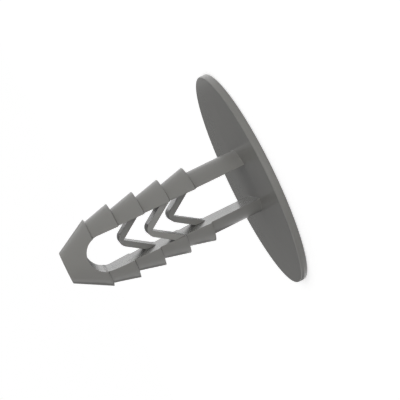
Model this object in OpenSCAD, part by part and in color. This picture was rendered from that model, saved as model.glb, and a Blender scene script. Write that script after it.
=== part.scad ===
// Push-in trim clip, moulded in one piece: a thin flat round head and a round shank with
// saw-tooth barbs, slotted into two legs that three V-shaped spring webs hold apart.
// The clip stands on its head. The head's outer face is at z = 0 and the shank points up.
// The slot is cut through along Y, so the legs lie on either side of it in X.

/* [Head] */
// Diameter of the flat round head
head_d = 20; // [12:0.5:30]
// Thickness of the head
head_t = 0.65; // [0.5:0.05:1.5]
// Rounding of the head's rim, above and below
head_edge_r = 0.1; // [0.05:0.01:0.2]

/* [Shank] */
// Diameter of the plain neck, and of the shank at the foot of each barb
neck_d = 5.95; // [5.5:0.05:6.5]
// Length from the head's inner face to the edge of the first barb
neck_len = 4.74; // [3:0.02:8]
// Diameter over the edges of the barbs
barb_d = 7.1; // [6.7:0.05:8]
// Distance from one barb to the next
barb_pitch = 2.42; // [2:0.02:3.2]
// Number of full-size barbs
barb_count = 4; // [3:1:6]
// How far the foot of a barb's back face sits behind its edge
barb_lean = 0.1; // [0.02:0.01:0.3]

/* [Tip] */
// Diameter over the shoulder where the tip starts
shoulder_d = 6.4; // [6:0.05:6.6]
// Diameter of the shank at the foot of the shoulder
shoulder_root_d = 5.9; // [5.4:0.05:5.9]
// Length of the conical tip, from the shoulder to the flat end
tip_len = 3.08; // [2.6:0.02:4.5]
// Diameter of the flat end of the tip
tip_d = 2.9; // [1.5:0.05:3.6]
// Solid length between the slot's round end and the flat end of the tip
tip_wall = 2.0; // [1.2:0.01:2.4]

/* [Slot and webs] */
// Width of the slot between the two legs
slot_w = 3.2; // [2.6:0.05:3.6]
// Number of spring webs, counted from the tip
web_count = 3; // [1:1:3]
// Thickness of a web's arms
web_t = 0.52; // [0.35:0.01:0.7]
// How much larger than the web's thickness the round outside its corner is
web_round = 0.18; // [0:0.01:0.2]
// Angle between a web's arm and the axis of the shank
web_angle = 34; // [28:1:45]
// Depth of a web, measured along the slot
web_depth = 2.7; // [1.5:0.05:2.9]
// Clear space in depth between the front webs and the rear webs
web_gap = 0.2; // [0:0.05:1.2]

/* [Hidden] */
$fn = 96;

// the shank starts half-way into the head, so that both join as one solid
shank_foot_z = head_t / 2;
shoulder_z = head_t + neck_len + barb_count * barb_pitch;
tip_z = shoulder_z + tip_len;
slot_centre_z = tip_z - tip_wall - slot_w / 2;

function barb_z(i) = head_t + neck_len + i * barb_pitch;

// half section of the head, with a round at each edge of its rim
module head_section() {
    flat_r = head_d / 2 - head_edge_r;
    square([flat_r, head_t]);
    translate([0, head_edge_r])
        square([head_d / 2, head_t - 2 * head_edge_r]);
    for (z = [head_edge_r, head_t - head_edge_r])
        translate([flat_r, z])
            circle(r = head_edge_r);
}

// half section of the shank: neck, barbs, shoulder and conical tip
module shank_section() {
    barbs = [
        for (i = [0 : barb_count - 1])
            each [[neck_d / 2, barb_z(i) - barb_lean], [barb_d / 2, barb_z(i)]]
    ];
    tip = [
        [shoulder_root_d / 2, shoulder_z - barb_lean],
        [shoulder_d / 2, shoulder_z],
        [tip_d / 2, tip_z],
        [0, tip_z]
    ];
    polygon(concat([[0, shank_foot_z], [neck_d / 2, shank_foot_z]], barbs, tip));
}

// outline of the slot, open through the legs' feet and round at the tip end
module slot_outline() {
    translate([-slot_w / 2, 0])
        square([slot_w, slot_centre_z]);
    translate([0, slot_centre_z])
        circle(d = slot_w);
}

// a wedge that opens towards the head, its sides held off the corner by a distance
module wedge(off, reach) {
    side = [off * cos(web_angle), off * sin(web_angle)];
    foot = side + reach * [sin(web_angle), -cos(web_angle)];
    polygon([[-side.x, side.y], [-foot.x, foot.y], foot, side]);
}

// outline of one V-shaped web: sharp inside its corner, round outside, its arms past the slot's walls
module web_outline() {
    reach = slot_w / sin(web_angle);
    outer_r = web_t + web_round;
    difference() {
        translate([0, -web_round / sin(web_angle)]) {
            circle(r = outer_r);
            wedge(outer_r, reach);
        }
        wedge(0, 2 * reach);
    }
}

// one spring web, in the front half of the depth or in the rear half
module web(z, rear) {
    mirror([0, rear ? 1 : 0, 0])
        translate([0, -web_gap / 2, z])
            rotate([90, 0, 0])
                linear_extrude(height = web_depth)
                    web_outline();
}

// the slot, cut around the webs, which alternate between its rear half and its front half
module slot() {
    difference() {
        rotate([90, 0, 0])
            linear_extrude(height = 2 * barb_d, center = true)
                slot_outline();
        for (i = [0 : web_count - 1])
            web(barb_z(barb_count - 1 - i), i % 2 == 0);
    }
}

module head() {
    rotate_extrude()
        head_section();
}

// the round shank, slotted into two legs with the webs left standing between them
module shank() {
    difference() {
        rotate_extrude()
            shank_section();
        slot();
    }
}

// the whole clip, moulded as one piece
module trim_clip() {
    color([0.48, 0.475, 0.46]) {
        head();
        shank();
    }
}

trim_clip();
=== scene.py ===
import math

import bmesh
import bpy
from mathutils import Matrix, Vector


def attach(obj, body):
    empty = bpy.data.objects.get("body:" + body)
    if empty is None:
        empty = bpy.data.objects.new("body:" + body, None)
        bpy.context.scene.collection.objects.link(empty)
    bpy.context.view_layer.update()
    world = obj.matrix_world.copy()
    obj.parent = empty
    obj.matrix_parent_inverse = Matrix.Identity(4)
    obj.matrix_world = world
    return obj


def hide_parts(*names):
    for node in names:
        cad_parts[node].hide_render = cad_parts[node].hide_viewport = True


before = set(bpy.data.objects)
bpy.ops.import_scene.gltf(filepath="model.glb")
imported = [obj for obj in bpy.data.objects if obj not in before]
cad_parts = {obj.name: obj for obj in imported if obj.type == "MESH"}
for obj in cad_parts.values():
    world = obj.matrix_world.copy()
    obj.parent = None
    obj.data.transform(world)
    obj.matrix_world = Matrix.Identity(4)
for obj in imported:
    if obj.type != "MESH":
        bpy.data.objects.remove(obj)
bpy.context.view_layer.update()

mm = 0.001  # sizes below are in millimetres


class Wire:
    # a shader socket that takes part in Python sums

    def __init__(self, tree, socket=None):
        self.tree = tree
        self.socket = socket

    def node(self, kind, settings=None, sockets=None, out=0):
        made = self.tree.nodes.new(kind)
        for name, value in (settings or {}).items():
            setattr(made, name, value)
        for name, value in (sockets or {}).items():
            if isinstance(value, Wire):
                self.tree.links.new(value.socket, made.inputs[name])
            else:
                made.inputs[name].default_value = value
        return Wire(self.tree, made.outputs[out] if made.outputs else None)

    def maths(self, operation, first, second):
        return self.node("ShaderNodeMath", {"operation": operation}, {0: first, 1: second})

    def __add__(self, other):
        return self.maths("ADD", self, other)

    def __radd__(self, other):
        return self.maths("ADD", other, self)

    def __sub__(self, other):
        return self.maths("SUBTRACT", self, other)

    def __rsub__(self, other):
        return self.maths("SUBTRACT", other, self)

    def __mul__(self, other):
        return self.maths("MULTIPLY", self, other)

    def __rmul__(self, other):
        return self.maths("MULTIPLY", other, self)


def emptyTree(owner):
    owner.use_nodes = True
    owner.node_tree.nodes.clear()
    return Wire(owner.node_tree)


# the moulded clip

clipShape = {
    "weld": 0.0005,  # corners closer than this become one
    "flat": 0.05,  # degrees within which two triangles count as one face
    "crease": 25,  # degrees from which an edge is rounded
    "edgeRadius": 0.035,
    "edgeSteps": 2,
    "rimRadius": 0.1,
    "rimSteps": 5,
    "areaWeight": 100,  # how far large faces set the shading beside the rounds
}


def plainRim(bm):
    # the slivers around the head give way to one plain band, with two sharp edges to round
    weld = clipShape["weld"] * mm
    outside = max(v.co.x for v in bm.verts)
    inside = outside - clipShape["rimRadius"] * mm - 2 * weld
    slivers = []
    for face in bm.faces:
        heights = [v.co.z for v in face.verts]
        level = max(heights) - min(heights) < weld
        if not level and min(v.co.xy.length for v in face.verts) > inside:
            slivers.append(face)
    bmesh.ops.delete(bm, geom=slivers, context="FACES")
    edges = [e for e in bm.edges if e.is_boundary]
    for corner in {v for e in edges for v in e.verts}:
        corner.co.xy = corner.co.xy.normalized() * outside
    if edges:
        bmesh.ops.bridge_loops(bm, edges=edges)
        bmesh.ops.recalc_face_normals(bm, faces=bm.faces)
    return edges


def roundEdges(bm, edges, radius, steps):
    bmesh.ops.bevel(
        bm,
        geom=edges,
        offset=radius * mm,
        offset_type="OFFSET",
        affect="EDGES",
        segments=steps,
        profile=0.5,
        material=-1,
        clamp_overlap=False,
    )


def roundedClip(node):
    bm = bmesh.new()
    bm.from_mesh(node.data)
    bmesh.ops.remove_doubles(bm, verts=bm.verts, dist=clipShape["weld"] * mm)
    rim = plainRim(bm)
    bmesh.ops.dissolve_limit(
        bm, angle_limit=math.radians(clipShape["flat"]), verts=bm.verts, edges=bm.edges
    )
    crease = math.radians(clipShape["crease"])
    onRim = set(rim)
    sharp = []
    for edge in bm.edges:
        if edge not in onRim and len(edge.link_faces) == 2 and edge.calc_face_angle() > crease:
            sharp.append(edge)
    roundEdges(bm, sharp, clipShape["edgeRadius"], clipShape["edgeSteps"])
    roundEdges(bm, [e for e in rim if e.is_valid], clipShape["rimRadius"], clipShape["rimSteps"])
    mesh = bpy.data.meshes.new("clipBody")
    bm.to_mesh(mesh)
    bm.free()
    mesh.shade_smooth()
    clip = bpy.data.objects.new("clipBody", mesh)
    bpy.context.scene.collection.objects.link(clip)
    even = clip.modifiers.new("evenShading", "WEIGHTED_NORMAL")
    even.mode = "FACE_AREA"
    even.weight = clipShape["areaWeight"]
    return clip


# its grey moulded plastic

plasticLook = {
    "grey": (0.195, 0.192, 0.180),
    "tintSpread": 0.04,  # share by which the melt's flow lightens and darkens the grey
    "flowScale": 260.0,
    "flowDetail": 3.0,
    "grainScale": 7000.0,
    "grainDetail": 2.0,
    "noiseMiddle": 0.5,  # value about which flow and grain vary
    "roughness": 0.22,
    "flowRoughness": 0.06,
    "grainRoughness": 0.04,
    "grainHeight": 0.002,
    "grainStrength": 0.12,
    "refraction": 1.5,
}


def greyPlastic():
    look = plasticLook
    material = bpy.data.materials.new("greyPlastic")
    wire = emptyTree(material)
    place = wire.node("ShaderNodeTexCoord", out="Object")
    flow = wire.node(
        "ShaderNodeTexNoise",
        {},
        {"Vector": place, "Scale": look["flowScale"], "Detail": look["flowDetail"]},
    )
    grain = wire.node(
        "ShaderNodeTexNoise",
        {},
        {"Vector": place, "Scale": look["grainScale"], "Detail": look["grainDetail"]},
    )
    dark = tuple((1 - look["tintSpread"]) * c for c in look["grey"]) + (1,)
    light = tuple((1 + look["tintSpread"]) * c for c in look["grey"]) + (1,)
    # a Mix node's colour sockets share their names with others, so they go by number
    tint = wire.node("ShaderNodeMix", {"data_type": "RGBA"}, {0: flow, 6: dark, 7: light}, out=2)
    fromFlow = (flow - look["noiseMiddle"]) * look["flowRoughness"]
    fromGrain = (grain - look["noiseMiddle"]) * look["grainRoughness"]
    rough = fromFlow + fromGrain + look["roughness"]
    relief = wire.node(
        "ShaderNodeBump",
        {},
        {"Strength": look["grainStrength"], "Distance": look["grainHeight"] * mm, "Height": grain},
    )
    shell = wire.node(
        "ShaderNodeBsdfPrincipled",
        {},
        {"Base Color": tint, "Roughness": rough, "Normal": relief, "IOR": look["refraction"]},
    )
    wire.node("ShaderNodeOutputMaterial", {}, {"Surface": shell})
    return material


clip = roundedClip(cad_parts["trim_clip"])
clip.data.materials.append(greyPlastic())
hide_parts("trim_clip")
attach(clip, "root")
print("clip:", len(clip.data.polygons), "faces")


# floor and light

studio = {
    "floorSize": 3000,
    "floorGrey": 0.9,
    "floorDrop": 0.01,  # how far the floor lies under the clip
    "floorLift": 0.55,  # what the floor adds to its own light where it is seen directly
    "background": 1.0,
    "ambient": 0.24,
    "softLights": (  # side that it comes from, tightness and level
        ((0.7071, -0.7071, 0), 12, 1.72),
        ((0.11, -0.99, 0.06), 200, 27.0),
        ((0.1, 0.8, 0.59), 8, 0.9),
    ),
    "cards": (  # two opposite corners of each dim card, which only reflections meet
        ((-220, 200, 0), (8, 200, 30)),
        ((-220, 200, 30), (60, 200, 160)),
        ((-60, 20, 0), (0, 199, 0)),
        ((-11.8, -12, 0), (-10.05, 10, 0)),
    ),
    "cardLevel": 0.21,
}


def seenDirectly(wire):
    camera = wire.node("ShaderNodeLightPath", out="Is Camera Ray")
    glossy = wire.node("ShaderNodeLightPath", out="Is Glossy Ray")
    through = wire.node("ShaderNodeLightPath", out="Is Transmission Ray")
    return wire.maths("MINIMUM", camera + glossy + through, 1.0)


def stagePlane(name, low, high, material):
    # from two opposite corners: level, or upright across Y
    size = Vector(high) - Vector(low)
    middle = (Vector(high) + Vector(low)) / 2
    bm = bmesh.new()
    bmesh.ops.create_grid(bm, x_segments=1, y_segments=1, size=0.5)
    if size.z:
        upright = Matrix.Rotation(math.radians(90), 3, "X")
        bmesh.ops.rotate(bm, verts=bm.verts, cent=(0, 0, 0), matrix=upright)
    bmesh.ops.scale(bm, verts=bm.verts, vec=size * mm)
    bmesh.ops.translate(bm, verts=bm.verts, vec=middle * mm)
    mesh = bpy.data.meshes.new(name)
    bm.to_mesh(mesh)
    bm.free()
    mesh.materials.append(material)
    plane = bpy.data.objects.new(name, mesh)
    bpy.context.scene.collection.objects.link(plane)
    return plane


def paleFloor():
    material = bpy.data.materials.new("paleFloor")
    wire = emptyTree(material)
    grey = studio["floorGrey"]
    paint = wire.node("ShaderNodeBsdfDiffuse", {}, {"Color": (grey, grey, grey, 1)})
    lift = wire.node("ShaderNodeEmission", {}, {"Strength": seenDirectly(wire) * studio["floorLift"]})
    both = wire.node("ShaderNodeAddShader", {}, {0: paint, 1: lift})
    wire.node("ShaderNodeOutputMaterial", {}, {"Surface": both})
    half = studio["floorSize"] / 2
    level = -studio["floorDrop"]
    stagePlane("floor", (-half, -half, level), (half, half, level), material)


def dimCards():
    material = bpy.data.materials.new("dimCard")
    wire = emptyTree(material)
    glow = wire.node("ShaderNodeEmission", {}, {"Strength": studio["cardLevel"]})
    wire.node("ShaderNodeOutputMaterial", {}, {"Surface": glow})
    for number, (low, high) in enumerate(studio["cards"]):
        card = stagePlane(f"dimCard{number}", low, high, material)
        card.visible_camera = False
        card.visible_diffuse = False
        card.visible_shadow = False
        card.visible_transmission = False


def softWorld():
    world = bpy.data.worlds.new("softWorld")
    bpy.context.scene.world = world
    wire = emptyTree(world)
    ray = wire.node("ShaderNodeTexCoord", out="Generated")
    light = studio["ambient"]
    for side, tightness, level in studio["softLights"]:
        facing = wire.node(
            "ShaderNodeVectorMath", {"operation": "DOT_PRODUCT"}, {0: ray, 1: side}, out="Value"
        )
        towards = (facing + 1.0) * 0.5  # 1 towards the light, 0 away from it
        light = light + wire.maths("POWER", towards, tightness) * level
    direct = seenDirectly(wire)
    strength = direct * studio["background"] + (1.0 - direct) * light
    sky = wire.node("ShaderNodeBackground", {}, {"Color": (1, 1, 1, 1), "Strength": strength})
    wire.node("ShaderNodeOutputWorld", {}, {"Surface": sky})


paleFloor()
dimCards()
softWorld()
print("floor and light set")


# camera

view = {
    "azimuth": 6.3664,
    "elevation": 6.7513,
    "roll": -115.938,
    "aim": (0.3055, -0.4243, 5.1517),
    "distance": 89.29,
    "lens": 92.02,
    "sensor": 36.0,
    "nearest": 1,
}


def placeCamera():
    azimuth = math.radians(view["azimuth"])
    elevation = math.radians(view["elevation"])
    roll = math.radians(view["roll"])
    back = Vector(
        (
            math.sin(azimuth) * math.cos(elevation),
            -math.cos(azimuth) * math.cos(elevation),
            math.sin(elevation),
        )
    )
    level = Vector((0, 0, 1)).cross(back).normalized()
    upright = back.cross(level)
    right = math.cos(roll) * level + math.sin(roll) * upright
    up = -math.sin(roll) * level + math.cos(roll) * upright
    data = bpy.data.cameras.new("photoCamera")
    data.sensor_width = view["sensor"]
    data.lens = view["lens"]
    data.clip_start = view["nearest"] * mm
    camera = bpy.data.objects.new("photoCamera", data)
    camera.matrix_world = Matrix((right, up, back)).transposed().to_4x4()
    camera.location = (Vector(view["aim"]) + view["distance"] * back) * mm
    bpy.context.scene.collection.objects.link(camera)
    bpy.context.scene.camera = camera


placeCamera()
bpy.context.scene.view_settings.view_transform = "Standard"
print("camera placed")
